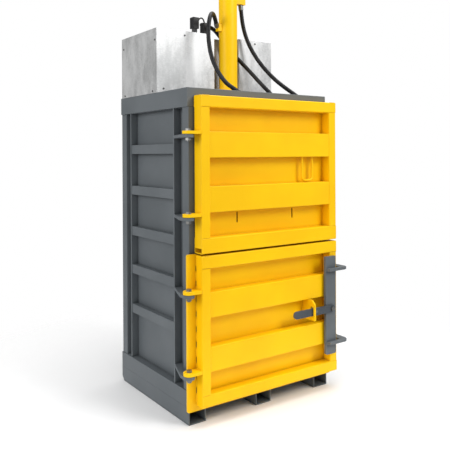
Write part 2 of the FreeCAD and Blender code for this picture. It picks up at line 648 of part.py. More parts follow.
def hinge_fasteners(side_z):
    """A bolt with its head on the door's lug, a washer between the lugs and a nut below."""
    door_top = side_z + LUG / 2
    door_low = side_z - LUG / 2
    frame_top = door_low - LUG_SPACE
    frame_low = frame_top - LUG
    head_low = door_top + FACE_CLEARANCE
    shank = rod(HINGE_BOLT / 2, (HINGE_X, HINGE_Y, frame_low - HINGE_NUT - 6.0),
                (HINGE_X, HINGE_Y, head_low))
    head = hexagon(HINGE_HEX, HINGE_X, HINGE_Y, head_low, head_low + HINGE_HEAD)
    nut = hexagon(HINGE_HEX, HINGE_X, HINGE_Y, frame_low - HINGE_NUT, frame_low)
    washer = rod(HINGE_BOLT * 0.9, (HINGE_X, HINGE_Y, frame_top),
                 (HINGE_X, HINGE_Y, frame_top + HINGE_WASHER))
    bore = rod(HINGE_BOLT / 2 + HINGE_CLEARANCE,
               (HINGE_X, HINGE_Y, frame_low - HINGE_NUT - 10.0),
               (HINGE_X, HINGE_Y, door_top))
    return [shank.fuse(head).removeSplitter(), nut.cut(bore), washer.cut(bore)]


def make_hinges():
    save("frame_hinge_lugs", *[frame_lug(z) for z in HINGE_LEVELS])
    fasteners = []
    for z in HINGE_LEVELS:
        fasteners += hinge_fasteners(z)
    save("hinge_bolts", *fasteners)


# ---- Door lock ----------------------------------------------------------------------
def hook(z0):
    """A flat hook across the bar that wraps round the door's edge to a pin hole."""
    leg_in = DOOR_RIGHT + HOOK_CLEAR
    leg_out = leg_in + HOOK_LEG
    face = LOCK_BAR_FRONT
    front = face - HOOK_REACH
    back = front + HOOK_WRAP
    outline = [(LOCK_BAR_LEFT + 6.0, face), (LOCK_BAR_LEFT + 14.0, front),
               (leg_out - 34.0, front), (leg_out - 10.0, front + 10.0),
               (leg_out, front + 34.0), (leg_out, back - 20.0),
               (leg_out - 20.0, back), (leg_in, back), (leg_in, face)]
    plate = flat_shape(outline, z0, z0 + HOOK_THICK)
    hole = rod(KEEPER_PIN / 2 + PIN_HOLE_CLEARANCE, (KEEPER_PIN_X, KEEPER_PIN_Y, z0 - 1),
               (KEEPER_PIN_X, KEEPER_PIN_Y, z0 + HOOK_THICK + 1))
    return plate.cut(hole)


def make_lock():
    z0, z1 = LOCK_BAR_BOTTOM, LOCK_BAR_TOP
    bar = block(LOCK_BAR_LEFT, LOCK_BAR_RIGHT, LOCK_BAR_FRONT, LOCK_BAR_BACK, z0, z1)
    low_edges = [e for e in edges_along(bar, 1) if abs(e.Vertexes[0].Point.z - z0) < 1e-6]
    bar = bar.makeFillet(LOCK_BAR_CORNER, low_edges)
    save("lock_bar", bar)
    save("lock_hooks", *[hook(z) for z in HOOK_HEIGHTS])
    bolt_r = LEVER_BOLT / 2
    shank = rod(bolt_r, (LEVER_BOLT_X, LOCK_BAR_FRONT, LEVER_Z),
                (LEVER_BOLT_X, LEVER_FRONT - FACE_CLEARANCE, LEVER_Z))
    head = rod(bolt_r * 1.75, (LEVER_BOLT_X, LEVER_FRONT - FACE_CLEARANCE, LEVER_Z),
               (LEVER_BOLT_X, LEVER_FRONT - FACE_CLEARANCE - 9.0, LEVER_Z))
    save("lock_lever_bolt", shank.fuse(head).removeSplitter())

    half = LEVER_HEIGHT / 2
    right = LEVER_BOLT_X + 1.0
    lever = block(LEVER_LEFT + half, right, LEVER_FRONT, LEVER_BACK,
                  LEVER_Z - half, LEVER_Z + half)
    for x in (LEVER_LEFT + half, right):
        lever = lever.fuse(rod(half, (x, LEVER_FRONT, LEVER_Z), (x, LEVER_BACK, LEVER_Z)))
    lever = lever.removeSplitter()
    lever = lever.cut(rod(LEVER_PIVOT_PIN / 2 + HINGE_CLEARANCE,
                          (LEVER_PIVOT_X, LEVER_FRONT - 1, LEVER_Z),
                          (LEVER_PIVOT_X, LEVER_BACK + 1, LEVER_Z)))
    reach = math.hypot(LEVER_ARM, HOOK_TRAVEL) - LEVER_ARM
    slot_r = bolt_r + 1.3
    start, end = LEVER_BOLT_X - 1.0, LEVER_BOLT_X + reach + 1.5
    slot = block(start, end, LEVER_FRONT - 1, LEVER_BACK + 1,
                 LEVER_Z - slot_r, LEVER_Z + slot_r)
    for x in (start, end):
        slot = slot.fuse(rod(slot_r, (x, LEVER_FRONT - 1, LEVER_Z),
                             (x, LEVER_BACK + 1, LEVER_Z)))
    save("lock_lever", lever.cut(slot))

    keepers = []
    for z in HOOK_HEIGHTS:
        top = z - HOOK_TRAVEL - KEEPER_SPARE
        plate = block(POST_OUT, KEEPER_PIN_X + KEEPER_PIN, FRONT_Y - 2.0,
                      KEEPER_PIN_Y + KEEPER_PIN, top - KEEPER_PLATE, top)
        pin = rod(KEEPER_PIN / 2, (KEEPER_PIN_X, KEEPER_PIN_Y, top - KEEPER_PLATE),
                  (KEEPER_PIN_X, KEEPER_PIN_Y, top + KEEPER_PIN_HEIGHT))
        chamfer_top = max(pin.Edges, key=lambda e: e.CenterOfMass.z)
        pin = pin.makeChamfer(3.0, [chamfer_top])
        keepers.append(plate.fuse(pin).removeSplitter())
    save("lock_keepers", *keepers)


# ---- Cylinder and ram ---------------------------------------------------------------
def upright(radius, z0, z1):
    """A round bar on the cylinder's axis."""
    return rod(radius, (0, CYLINDER_Y, z0), (0, CYLINDER_Y, z1))


def make_cylinder():
    barrel = upright(BARREL_R, BARREL_BOTTOM, BARREL_TOP)
    save("cylinder_barrel", barrel.cut(upright(BORE_R, BARREL_BOTTOM, BARREL_TOP)))
    cap = upright(BARREL_R, BARREL_TOP, BARREL_TOP + END_CAP)
    rim = max(cap.Edges, key=lambda e: e.CenterOfMass.z)
    save("cylinder_end_cap", cap.makeChamfer(5.0, [rim]))
    gland = upright(BORE_R - RUNNING, BARREL_BOTTOM, BARREL_BOTTOM + GLAND_LENGTH)
    collar = upright(BARREL_R, BARREL_BOTTOM - GLAND_COLLAR, BARREL_BOTTOM)
    gland = gland.fuse(collar).removeSplitter()
    save("cylinder_gland", gland.cut(upright(
        ROD_DIAMETER / 2 + RUNNING, BARREL_BOTTOM - GLAND_COLLAR - 1,
        BARREL_BOTTOM + GLAND_LENGTH + 1)))
    flange = block(-FLANGE_WIDTH / 2, FLANGE_WIDTH / 2, CYLINDER_Y - FLANGE_DEPTH / 2,
                   CYLINDER_Y + FLANGE_DEPTH / 2, CROSSBEAM_TOP, FLANGE_TOP)
    flange = flange.cut(upright(BARREL_R + RUNNING, CROSSBEAM_TOP - 1, FLANGE_TOP + 1))
    bolts = []
    for x, y in flange_bolt_places():
        flange = flange.cut(rod(FLANGE_BOLT / 2 + 0.5, (x, y, CROSSBEAM_TOP - 1),
                                (x, y, FLANGE_TOP + 1)))
        wall_low = CROSSBEAM_TOP - BEAM_WALL
        shank = rod(FLANGE_BOLT / 2, (x, y, wall_low - 20.0), (x, y, FLANGE_TOP))
        head = hexagon(HINGE_HEX, x, y, FLANGE_TOP, FLANGE_TOP + HINGE_HEAD)
        nut = hexagon(HINGE_HEX, x, y, wall_low - HINGE_NUT, wall_low)
        bore = rod(FLANGE_BOLT / 2 + RUNNING, (x, y, wall_low - 20.0), (x, y, FLANGE_TOP))
        bolts += [shank.fuse(head).removeSplitter(), nut.cut(bore)]
    save("cylinder_flange", flange)
    save("flange_bolts", *bolts)
    lower = block(-PORT_REACH, -BARREL_R * 0.8, CYLINDER_Y - 15.0, CYLINDER_Y + 15.0,
                  LOWER_PORT_Z - 25.0, LOWER_PORT_Z + 23.0)
    upper = block(BARREL_R * 0.75, 135.0, CYLINDER_Y - 24.0, CYLINDER_Y + 24.0,
                  UPPER_PORT_Z, UPPER_PORT_Z + 65.0)
    save("cylinder_ports", *[b.cut(upright(BARREL_R + 0.02, BARREL_BOTTOM, BARREL_TOP))
                             for b in (lower, upper)])


def make_ram():
    piston_top = BARREL_TOP - PISTON_SET_DOWN
    piston_low = piston_top - PISTON_LENGTH
    foot_low = PLATEN_TOP
    ram = upright(ROD_DIAMETER / 2, foot_low, piston_low)
    ram = ram.fuse(upright(SPIGOT_DIAMETER / 2, piston_low, piston_top + 15.0))
    ram = ram.fuse(upright(ROD_FOOT_DIAMETER / 2, foot_low, foot_low + ROD_FOOT))
    save("piston_rod", ram.removeSplitter())
    spigot = upright(SPIGOT_DIAMETER / 2 + RUNNING, piston_low, piston_top + 15.0)
    piston = upright(BORE_R - RUNNING, piston_low, piston_top).cut(spigot)
    nut = hexagon(75.0, 0, CYLINDER_Y, piston_top, piston_top + 15.0).cut(spigot)
    save("piston", piston, nut)

    half = POST_IN - PLATEN_SIDE_GAP
    front = DOOR_BACK + PLATEN_FRONT_GAP
    rear = REAR_SKIN_FRONT - PLATEN_REAR_GAP
    save("platen_plate", block(-half, half, front, rear,
                               PLATEN_TOP - PLATEN_PLATE, PLATEN_TOP))
    rim_out = half - 8.0
    rim_in = rim_out - PLATEN_RIM
    rim_top = PLATEN_TOP + PLATEN_RIM_HEIGHT
    pieces = []
    for y in (CYLINDER_Y - PLATEN_BEAM_OFFSET, CYLINDER_Y + PLATEN_BEAM_OFFSET):
        pieces.append(box_tube(-rim_in, rim_in, y - PLATEN_BEAM_WIDTH / 2,
                               y + PLATEN_BEAM_WIDTH / 2, PLATEN_TOP,
                               PLATEN_TOP + PLATEN_BEAM_HEIGHT, 0, DOOR_WALL, BEAM_CORNER))
    for side in (-1, 1):
        pieces.append(mirrored_block(side, rim_in, rim_out, front + 10.0, rear - 10.0,
                                     PLATEN_TOP, rim_top))
        pieces.append(mirrored_block(
            side, 140.0, 150.0, CYLINDER_Y - PLATEN_BEAM_OFFSET + PLATEN_BEAM_WIDTH / 2,
            CYLINDER_Y + PLATEN_BEAM_OFFSET - PLATEN_BEAM_WIDTH / 2, PLATEN_TOP, rim_top))
    for y0 in (front + 10.0, rear - 10.0 - PLATEN_RIM):
        pieces.append(block(-rim_in, rim_in, y0, y0 + PLATEN_RIM, PLATEN_TOP, rim_top))
    save("platen_frame", *pieces)
    save("platen_shoes", *[
        mirrored_block(side, rim_out, POST_IN - FACE_CLEARANCE, y, y + SHOE_LENGTH,
                       PLATEN_TOP, rim_top)
        for side in (-1, 1) for y in (front + 40.0, rear - 40.0 - SHOE_LENGTH)])


# ---- Hoses --------------------------------------------------------------------------
# The points of each hose, from its port to the block in the roof well.
HOSE_ROD_SIDE = [
    (-115, -101, 2498), (-141, -124, 2529), (-180, -158, 2543), (-217, -190, 2523),
    (-242, -207, 2470), (-252, -212, 2398), (-248, -217, 2308), (-238, -234, 2224),
    (-218, -266, 2143), (-187, -308, 2066), (-138, -345, 2020), (-62, -354, 1982),
    (35, -343, 1945), (150, -322, 1918), (270, -308, 1913), (384, -302, 1925)]
HOSE_SUPPLY = [
    (-101, 41, 2500), (-54, 38, 2494), (-10, 30, 2453), (32, 10, 2390),
    (74, -22, 2322), (114, -68, 2255), (150, -118, 2190), (190, -168, 2118),
    (228, -214, 2054), (272, -244, 1998), (326, -256, 1950), (384, -254, 1925)]
HOSE_CAP_SIDE = [
    (113, -80, 2614), (119, -80, 2560), (130, -84, 2490), (150, -94, 2412),
    (181, -114, 2332), (215, -144, 2258), (257, -182, 2186), (304, -228, 2118),
    (354, -276, 2062), (402, -314, 2018), (436, -340, 1984)]
COIL_CABLE = [(-200, 0, 2506), (-189, 0, 2531), (-168, 0, 2543), (-149, 0, 2532),
              (-142, 0, 2506)]


def make_hoses():
    for node, route in (("hose_rod_side", HOSE_ROD_SIDE), ("hose_supply", HOSE_SUPPLY),
                        ("hose_cap_side", HOSE_CAP_SIDE)):
        save(node, cord_tube(node, route, HOSE_DIAMETER))
    cable = cord_tube("coil_cable", COIL_CABLE, CABLE_DIAMETER)
    for coil in coil_blocks():
        cable = cable.cut(coil)
    save("coil_cable", cable)
    ends = []
    for route in (HOSE_ROD_SIDE, HOSE_SUPPLY, HOSE_CAP_SIDE):
        first, second = V(*route[0]), V(*route[1])
        direction = second - first
        direction.normalize()
        ends.append(ferrule(tuple(first - direction * FERRULE_LENGTH), tuple(direction)))
        last, before = V(*route[-1]), V(*route[-2])
        direction = before - last
        direction.normalize()
        ends.append(ferrule(tuple(last - direction * FERRULE_LENGTH), tuple(direction)))
    barrel_and_ports = upright(BARREL_R, BARREL_BOTTOM, BARREL_TOP)
    boss = block(-PORT_REACH, 0, CYLINDER_Y - 15.0, CYLINDER_Y + 15.0,
                 LOWER_PORT_Z - 25.0, LOWER_PORT_Z + 23.0)
    cap_boss = block(0, 135.0, CYLINDER_Y - 24.0, CYLINDER_Y + 24.0,
                     UPPER_PORT_Z, UPPER_PORT_Z + 65.0)
    cutters = [barrel_and_ports, boss, cap_boss, hose_block()]
    for cutter in cutters:
        ends = [end.cut(cutter) for end in ends]
    elbow_x, elbow_y = HOSE_SUPPLY[0][0] - FERRULE_LENGTH, HOSE_SUPPLY[0][1]
    stem_top = HOSE_SUPPLY[0][2] + 4.0
    stem = rod(13.0, (elbow_x, elbow_y, VALVE_TOP), (elbow_x, elbow_y, stem_top))
    ball = Part.makeSphere(16.0, V(elbow_x, elbow_y, stem_top))
    ends[2] = ends[2].fuse(stem).fuse(ball).removeSplitter()
    save("hose_fittings", *ends)
    save("hose_block", hose_block())


def hose_block():
    """The block at the right of the roof well that the three hoses plug into."""
    return block(HOSE_BLOCK_LEFT, HOSE_BLOCK_LEFT + 58.0, -378.0, -228.0,
                 CROSSBEAM_BOTTOM, HOSE_BLOCK_PORT_Z + 30.0)


# ---- Power unit and cover -----------------------------------------------------------
def cover_front_line():
    """The plan of the cover's front, with its recess round the cylinder."""
    return [(-SIDE_X + COVER_SHEET, COVER_FRONT_Y), (-RECESS_HALF, COVER_FRONT_Y),
            (-RECESS_HALF, RECESS_BACK_Y), (RECESS_HALF, RECESS_BACK_Y),
            (RECESS_HALF, COVER_FRONT_RIGHT_Y), (COVER_RIGHT_X, COVER_FRONT_RIGHT_Y)]


def make_cover():
    z0, z1 = BODY_HEIGHT, COVER_TOP - COVER_SHEET
    t = COVER_SHEET
    save("cover_left", block(-SIDE_X, -SIDE_X + t, COVER_FRONT_Y, COVER_REAR_Y, z0, z1))
    line = cover_front_line()
    inner = [(line[0][0], line[0][1] + t), (line[1][0] - t, line[1][1] + t),
             (line[2][0] - t, line[2][1] + t), (line[3][0] + t, line[3][1] + t),
             (line[4][0] + t, line[4][1] + t), (line[5][0], line[5][1] + t)]
    save("cover_front", flat_shape(line + inner[::-1], z0, z1))
    back = [(-SIDE_X + t, COVER_REAR_Y), (COVER_RIGHT_X, COVER_REAR_Y),
            (COVER_RIGHT_X, COVER_FRONT_RIGHT_Y + t),
            (COVER_RIGHT_X - t, COVER_FRONT_RIGHT_Y + t),
            (COVER_RIGHT_X - t, COVER_REAR_Y - t), (-SIDE_X + t, COVER_REAR_Y - t)]
    save("cover_back", flat_shape(back, z0, z1))
    outline = [(-SIDE_X, COVER_FRONT_Y)] + line[1:] + [
        (COVER_RIGHT_X, COVER_REAR_Y), (-SIDE_X, COVER_REAR_Y)]
    x0, x1, y0, y1 = LID_OPENING
    save("cover_lid", flat_shape(outline, z1, COVER_TOP).cut(
        block(x0, x1, y0, y1, z1 - 1, COVER_TOP + 1)))
    r, out = SCREW_DIAMETER / 2, 3.0
    screws = [rod(r, (-SIDE_X, y, z), (-SIDE_X - out, y, z))
              for y, z in ((402.0, COVER_TOP - 76.0), (-56.0, COVER_TOP - 76.0),
                           (385.0, BODY_HEIGHT + 13.0), (-22.0, BODY_HEIGHT + 13.0))]
    screws += [rod(r, (x, y, z), (x, y - out, z))
               for x, y, z in ((-349.0, COVER_FRONT_Y, COVER_TOP - 30.0),
                               (-510.0, COVER_FRONT_Y, BODY_HEIGHT + 28.0),
                               (262.0, COVER_FRONT_RIGHT_Y, COVER_TOP - 21.0))]
    screws += [rod(r, (x, COVER_REAR_Y, z), (x, COVER_REAR_Y + out, z))
               for x in (-500.0, -75.0, 350.0)
               for z in (BODY_HEIGHT + 28.0, COVER_TOP - 30.0)]
    save("cover_screws", *screws)


def coil_blocks():
    """The square coils on the two valves."""
    half = COIL_SIDE / 2
    blocks = [block(x - half, x + half, -half, half, z, z + height)
              for x, z, height in COIL_PLACES]
    return [b.makeFillet(5.0, edges_along(b, 2)) for b in blocks]


def make_power_unit():
    x1, y1 = TANK_LEFT + TANK_WIDTH, TANK_FRONT + TANK_DEPTH
    tank = block(TANK_LEFT, x1, TANK_FRONT, y1, CROSSBEAM_TOP, TANK_TOP)
    hollow = block(TANK_LEFT + TANK_WALL, x1 - TANK_WALL, TANK_FRONT + TANK_WALL,
                   y1 - TANK_WALL, CROSSBEAM_TOP + TANK_WALL, TANK_TOP)
    save("oil_tank", tank.cut(hollow), block(
        TANK_LEFT - 6.0, x1 + 6.0, TANK_FRONT - 6.0, y1 + 6.0, TANK_TOP, VALVE_BOTTOM))
    bx0, bx1, by0, by1, _ = VALVE_BLOCK
    save("valve_block", block(bx0, bx1, by0, by1, VALVE_BOTTOM, VALVE_TOP))
    valves, coils = [], []
    for coil, (x, z, height) in zip(coil_blocks(), COIL_PLACES):
        body = hexagon(36.0, x, 0, VALVE_TOP, z)
        stem_top = z + height - 6.0
        valves.append(body.fuse(rod(9.0, (x, 0, z), (x, 0, stem_top))).removeSplitter())
        coils.append(coil.cut(rod(9.0 + RUNNING, (x, 0, z - 1), (x, 0, stem_top))))
    save("solenoid_valves", *valves, *coils)

    base = block(150.0, 400.0, CYLINDER_Y + CROSSBEAM_OFFSET - 20.0,
                 TANK_BEAM_Y + CROSSBEAM_WIDTH / 2, CROSSBEAM_TOP, CROSSBEAM_TOP + 10.0)
    radius = MOTOR_DIAMETER / 2
    axis_y, axis_z = 180.0, CROSSBEAM_TOP + 10.0 + radius + 14.0
    motor = rod(radius, (235.0, axis_y, axis_z), (395.0, axis_y, axis_z))
    foot = block(250.0, 380.0, axis_y - 70.0, axis_y + 70.0, CROSSBEAM_TOP + 10.0, axis_z)
    terminal = block(280.0, 350.0, axis_y - 40.0, axis_y + 40.0, axis_z,
                     axis_z + radius + 34.0)
    save("electric_motor", motor.fuse(foot).fuse(terminal).removeSplitter(), base)
    bell = rod(62.0, (195.0, axis_y, axis_z), (235.0, axis_y, axis_z))
    pump = block(140.0, 195.0, axis_y - 45.0, axis_y + 45.0, axis_z - 45.0, axis_z + 45.0)
    save("gear_pump", bell.fuse(pump).removeSplitter())


make_base()
make_walls()
make_roof()
make_upper_door()
make_lower_door()
make_hinges()
make_lock()
make_cylinder()
make_ram()
make_hoses()
make_cover()
make_power_unit()
print("nodes", len([f for f in os.listdir("parts") if f.endswith(".step")]))
print("lever swing", round(math.degrees(LEVER_SWING), 2), "arm", LEVER_ARM)
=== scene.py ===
# %% [markdown]
# A recycling baler in a product studio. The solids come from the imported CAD
# model, which fixes every size and place. This file adds what metal, paint and rubber look
# like: finishes made from shader nodes, smooth hoses, weld beads along the seams, and a
# floor, lights and camera. Image textures could do the same, but node finishes need no
# files and stay sharp at any distance.

# %% Load the frame
import json
import math
import bmesh
import bpy
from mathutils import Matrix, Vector


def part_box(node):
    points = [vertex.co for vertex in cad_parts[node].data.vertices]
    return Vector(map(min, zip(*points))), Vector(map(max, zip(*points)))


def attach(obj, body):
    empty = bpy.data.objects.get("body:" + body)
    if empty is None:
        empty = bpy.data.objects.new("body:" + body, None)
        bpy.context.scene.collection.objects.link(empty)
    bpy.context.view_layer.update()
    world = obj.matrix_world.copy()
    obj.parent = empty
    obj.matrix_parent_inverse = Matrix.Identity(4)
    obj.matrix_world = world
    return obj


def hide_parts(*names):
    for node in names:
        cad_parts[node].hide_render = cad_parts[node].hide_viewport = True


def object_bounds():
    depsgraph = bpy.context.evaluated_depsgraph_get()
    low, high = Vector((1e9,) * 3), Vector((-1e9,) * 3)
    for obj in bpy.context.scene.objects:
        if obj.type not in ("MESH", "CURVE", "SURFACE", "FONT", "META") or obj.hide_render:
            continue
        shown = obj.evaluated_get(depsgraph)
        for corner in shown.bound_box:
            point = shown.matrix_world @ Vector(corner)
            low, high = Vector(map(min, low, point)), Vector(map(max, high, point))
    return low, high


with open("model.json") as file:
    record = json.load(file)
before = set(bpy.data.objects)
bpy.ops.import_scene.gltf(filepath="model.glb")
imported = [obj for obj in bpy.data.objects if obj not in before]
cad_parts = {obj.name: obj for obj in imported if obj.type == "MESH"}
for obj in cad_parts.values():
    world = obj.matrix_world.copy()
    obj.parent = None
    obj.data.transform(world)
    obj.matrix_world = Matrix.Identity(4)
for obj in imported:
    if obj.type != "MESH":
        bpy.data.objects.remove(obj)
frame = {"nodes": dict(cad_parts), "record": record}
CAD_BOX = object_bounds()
nodes = frame["nodes"]
scene = bpy.context.scene
print("CAD box", [[round(v, 3) for v in corner] for corner in CAD_BOX])

# %% [markdown]
# The camera comes first, because it decides what is seen. The machine is shown from its
# front left corner at standing eye height, with the camera held level, so the posts stay
# parallel. A level camera would cut the tall column off, so the lens is shifted down the
# way an architect's camera is, in place of tilting it.

# %% Camera
EYE = Vector((-2.403, -3.482, 1.601))
HEADING = math.radians(34.89)
ROLL = math.radians(0.29)
LENS_MM = 48.02
SHIFT_DOWN = -0.157
SENSOR_MM = 36.0

camera_data = bpy.data.cameras.new("studio_camera")
camera = bpy.data.objects.new("studio_camera", camera_data)
scene.collection.objects.link(camera)
camera.location = EYE
camera.rotation_euler = (math.pi / 2, ROLL, -HEADING)
camera_data.sensor_width = SENSOR_MM
camera_data.lens = LENS_MM
camera_data.shift_y = SHIFT_DOWN
scene.camera = camera
print("camera at", tuple(EYE))

# %% [markdown]
# Each hydraulic hose is a smooth curve led by a few control points. A NURBS spline
# of order three bends evenly between its control points, as a stiff rubber hose does, and
# its end setting makes it start and stop exactly in the fittings. A poly line would show
# corners, and a hand-made mesh tube would be harder to change.

# %% Hoses
HOSE_DIAMETER = 0.028
CABLE_DIAMETER = 0.010
HOSE_ROUTES = {
    "hose_rod_side": [
        (-.115, -.101, 2.498), (-.141, -.124, 2.529), (-.180, -.158, 2.543),
        (-.217, -.190, 2.523), (-.242, -.207, 2.470), (-.252, -.212, 2.398),
        (-.248, -.217, 2.308), (-.238, -.234, 2.224), (-.218, -.266, 2.143),
        (-.187, -.308, 2.066), (-.138, -.345, 2.020), (-.062, -.354, 1.982),
        (.035, -.343, 1.945), (.150, -.322, 1.918), (.270, -.308, 1.913),
        (.384, -.302, 1.925)],
    "hose_supply": [
        (-.101, .041, 2.500), (-.054, .038, 2.494), (-.010, .030, 2.453),
        (.032, .010, 2.390), (.074, -.022, 2.322), (.114, -.068, 2.255),
        (.150, -.118, 2.190), (.190, -.168, 2.118), (.228, -.214, 2.054),
        (.272, -.244, 1.998), (.326, -.256, 1.950), (.384, -.254, 1.925)],
    "hose_cap_side": [
        (.113, -.080, 2.614), (.119, -.080, 2.560), (.130, -.084, 2.490),
        (.150, -.094, 2.412), (.181, -.114, 2.332), (.215, -.144, 2.258),
        (.257, -.182, 2.186), (.304, -.228, 2.118), (.354, -.276, 2.062),
        (.402, -.314, 2.018), (.436, -.340, 1.984)],
}
CABLE_ROUTE = [(-.200, 0, 2.506), (-.189, 0, 2.531), (-.168, 0, 2.543),
               (-.149, 0, 2.532), (-.142, 0, 2.506)]


def soft_line(name, route, diameter):
    """A round cord along a NURBS spline through these control points."""
    curve = bpy.data.curves.new(name, "CURVE")
    curve.dimensions = "3D"
    curve.resolution_u = 12
    spline = curve.splines.new("NURBS")
    spline.points.add(len(route) - 1)
    for point, place in zip(spline.points, route):
        point.co = (*place, 1)
    spline.order_u = 3
    spline.use_endpoint_u = True
    curve.bevel_depth = diameter / 2
    curve.bevel_resolution = 6
    curve.use_fill_caps = True
    cord = bpy.data.objects.new(name, curve)
    scene.collection.objects.link(cord)
    return cord


def route_length(route):
    """The length of the smooth line, measured on a curve that has no thickness."""
    probe = soft_line("probe", route, 0.0)
    mesh = bpy.data.meshes.new_from_object(probe)
    places = [v.co.copy() for v in mesh.vertices]
    length = sum((b - a).length for a, b in zip(places, places[1:]))
    bpy.data.objects.remove(probe)
    return length


cords = {}
for cad_name, route in [*HOSE_ROUTES.items(), ("coil_cable", CABLE_ROUTE)]:
    thickness = CABLE_DIAMETER if cad_name == "coil_cable" else HOSE_DIAMETER
    cord = soft_line("smooth_" + cad_name, route, thickness)
    cords[cad_name] = cord
    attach(cord, "frame")
    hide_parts(cad_name)
    route_length(route)
    print(cord.name, "length", round(route_length(route), 3), "m")

# %% [markdown]
# Every finish below is written as arithmetic on shader sockets, so a line reads like the
# formula it stands for. One small class wraps a socket and adds a Math node for each
# operator. Dragging the same nodes by hand would work but could not be read or repeated.

# %% A finish and its sockets
class Socket:
    """A shader socket that can be added, multiplied and stepped like a number."""

    def __init__(self, finish, link):
        self.finish = finish
        self.link = link

    def _math(self, operation, a, b):
        return self.finish.node("ShaderNodeMath", {"operation": operation}, {0: a, 1: b})

    def __add__(self, other):
        return self._math("ADD", self, other)

    def __sub__(self, other):
        return self._math("SUBTRACT", self, other)

    def __mul__(self, other):
        return self._math("MULTIPLY", self, other)

    def __rsub__(self, other):
        return self._math("SUBTRACT", other, self)

    __radd__ = __add__
    __rmul__ = __mul__

    def between(self, low, high):
        """0 below low, 1 above high, and a smooth step from one to the other."""
        return self.finish.node(
            "ShaderNodeMapRange", {"interpolation_type": "SMOOTHSTEP"},
            {"Value": self, "From Min": low, "From Max": high})


class Finish:
    """A material with one Principled shader and helpers that add nodes to it."""

    def __init__(self, name):
        self.material = bpy.data.materials.new(name)
        self.material.use_nodes = True
        self.tree = self.material.node_tree
        self.shader = self.tree.nodes["Principled BSDF"]

    def node(self, kind, settings, values, output=0):
        """Adds a node: its settings first, then the values or links of its sockets."""
        made = self.tree.nodes.new(kind)
        for key, value in settings.items():
            setattr(made, key, value)
        for key, value in values.items():
            self.feed(made.inputs[key], value)
        return Socket(self, made.outputs[output])

    def feed(self, socket, value):
        if isinstance(value, Socket):
            self.tree.links.new(value.link, socket)
        else:
            socket.default_value = value

    def set(self, **sockets):
        for key, value in sockets.items():
            self.feed(self.shader.inputs[key.replace("_", " ")], value)

    def place(self):
        """The point on the object, in metres."""
        return self.node("ShaderNodeTexCoord", {}, {}, output=3)

    def noise(self, scale, detail=4.0, rough=0.55, stretch=(1, 1, 1)):
        """Cloudy noise, with scale counted in blobs to the metre."""
        at = self.node("ShaderNodeVectorMath", {"operation": "MULTIPLY"},
                       {0: self.place(), 1: stretch})
        return self.node("ShaderNodeTexNoise", {}, {
            "Vector": at, "Scale": scale, "Detail": detail, "Roughness": rough})

    def mix(self, factor, a, b):
        """One colour into another by a factor."""
        return self.node("ShaderNodeMix", {"data_type": "RGBA"},
                         {0: factor, 6: a, 7: b}, output=2)

    def bump(self, height, strength, distance):
        self.set(Normal=self.node("ShaderNodeBump", {}, {
            "Height": height, "Strength": strength, "Distance": distance}))

    def corners(self, reach):
        """1 in inside corners and crevices, 0 on open faces: the mask for painted shade."""
        open_sky = self.node("ShaderNodeAmbientOcclusion", {"samples": 8},
                             {"Distance": reach}, output=1)
        return 1.0 - open_sky.between(0.25, 0.85)

    def edge_wear(self, radius):
        """1 where an outside edge is near, from the bevel's bent normal."""
        bent = self.node("ShaderNodeBevel", {"samples": 6}, {"Radius": radius})
        true = self.node("ShaderNodeNewGeometry", {}, {}, output=1)
        dot = self.node("ShaderNodeVectorMath", {"operation": "DOT_PRODUCT"},
                        {0: bent, 1: true}, output=1)
        return (1.0 - dot).between(0.004, 0.10)


print("helpers ready")

# %% [markdown]
# The doors and the cylinder are powder coated: baked plastic paint with a fine orange-peel
# skin, satin gloss, thin at sharp edges, and painted shade in the corners and crevices.
# A flat colour would look like a toy, so three noises of different size move the tint,
# the gloss and the surface. The lever is a darker, handled grey, and the motor a dark
# paint of its own.

# %% Powder coat
def powder_coat(name, colour, shade, edge, corner_shade_colour, roughness):
    finish = Finish(name)
    clouds = finish.noise(2.2, 3.0)
    grime = finish.noise(9.0, 6.0, 0.62)
    peel = finish.noise(900.0, 2.0)
    tinted = finish.mix(clouds.between(0.35, 0.7), shade, colour)
    worn = finish.edge_wear(0.003) * grime.between(0.42, 0.62)
    # Inside corners and crevices darken toward the fourth colour, patchy with the grime
    # noise: painted shade.
    corner_shade_mask = finish.corners(0.035) * (grime * 0.6 + 0.45)
    corner_shaded_coat = finish.mix(corner_shade_mask * 0.6, tinted, corner_shade_colour)
    finish.set(Base_Color=finish.mix(worn * 0.55, corner_shaded_coat, edge),
               Roughness=grime * 0.14 + (roughness - 0.07), Coat_Weight=0.05)
    finish.shader.inputs["Coat Roughness"].default_value = 0.3
    finish.shader.inputs["Specular IOR Level"].default_value = 0.16
    finish.bump(peel, 0.10, 0.0006)
    return finish.material


# The fourth colour of each coat is the painted shade of its corners and crevices.
YELLOW = powder_coat("yellow_powder_coat", (0.985, 0.600, 0.002, 1), (0.94, 0.540, 0.002, 1),
                     (0.98, 0.70, 0.06, 1), (0.36, 0.17, 0.004, 1), 0.42)
GREY = powder_coat("grey_powder_coat", (0.138, 0.153, 0.164, 1), (0.116, 0.130, 0.140, 1),
                   (0.22, 0.235, 0.245, 1), (0.016, 0.020, 0.022, 1), 0.46)
LEVER_GREY = powder_coat("worn_grey_powder_coat", (0.074, 0.086, 0.098, 1),
                         (0.060, 0.070, 0.080, 1), (0.20, 0.215, 0.225, 1),
                         (0.016, 0.020, 0.022, 1), 0.44)
MACHINE_BLUE = powder_coat("dark_motor_paint", (0.035, 0.045, 0.065, 1),
                           (0.028, 0.036, 0.052, 1), (0.12, 0.13, 0.15, 1),
                           (0.01, 0.01, 0.012, 1), 0.5)
print("powder coats", YELLOW.name, GREY.name)

# %% [markdown]
# The cover is folded from galvanised sheet, which shows faint crystals of zinc and fine
# rolling lines. A Voronoi texture gives the crystals their flat patches, each with its own
# gloss, and a noise stretched along one axis gives the rolling lines.

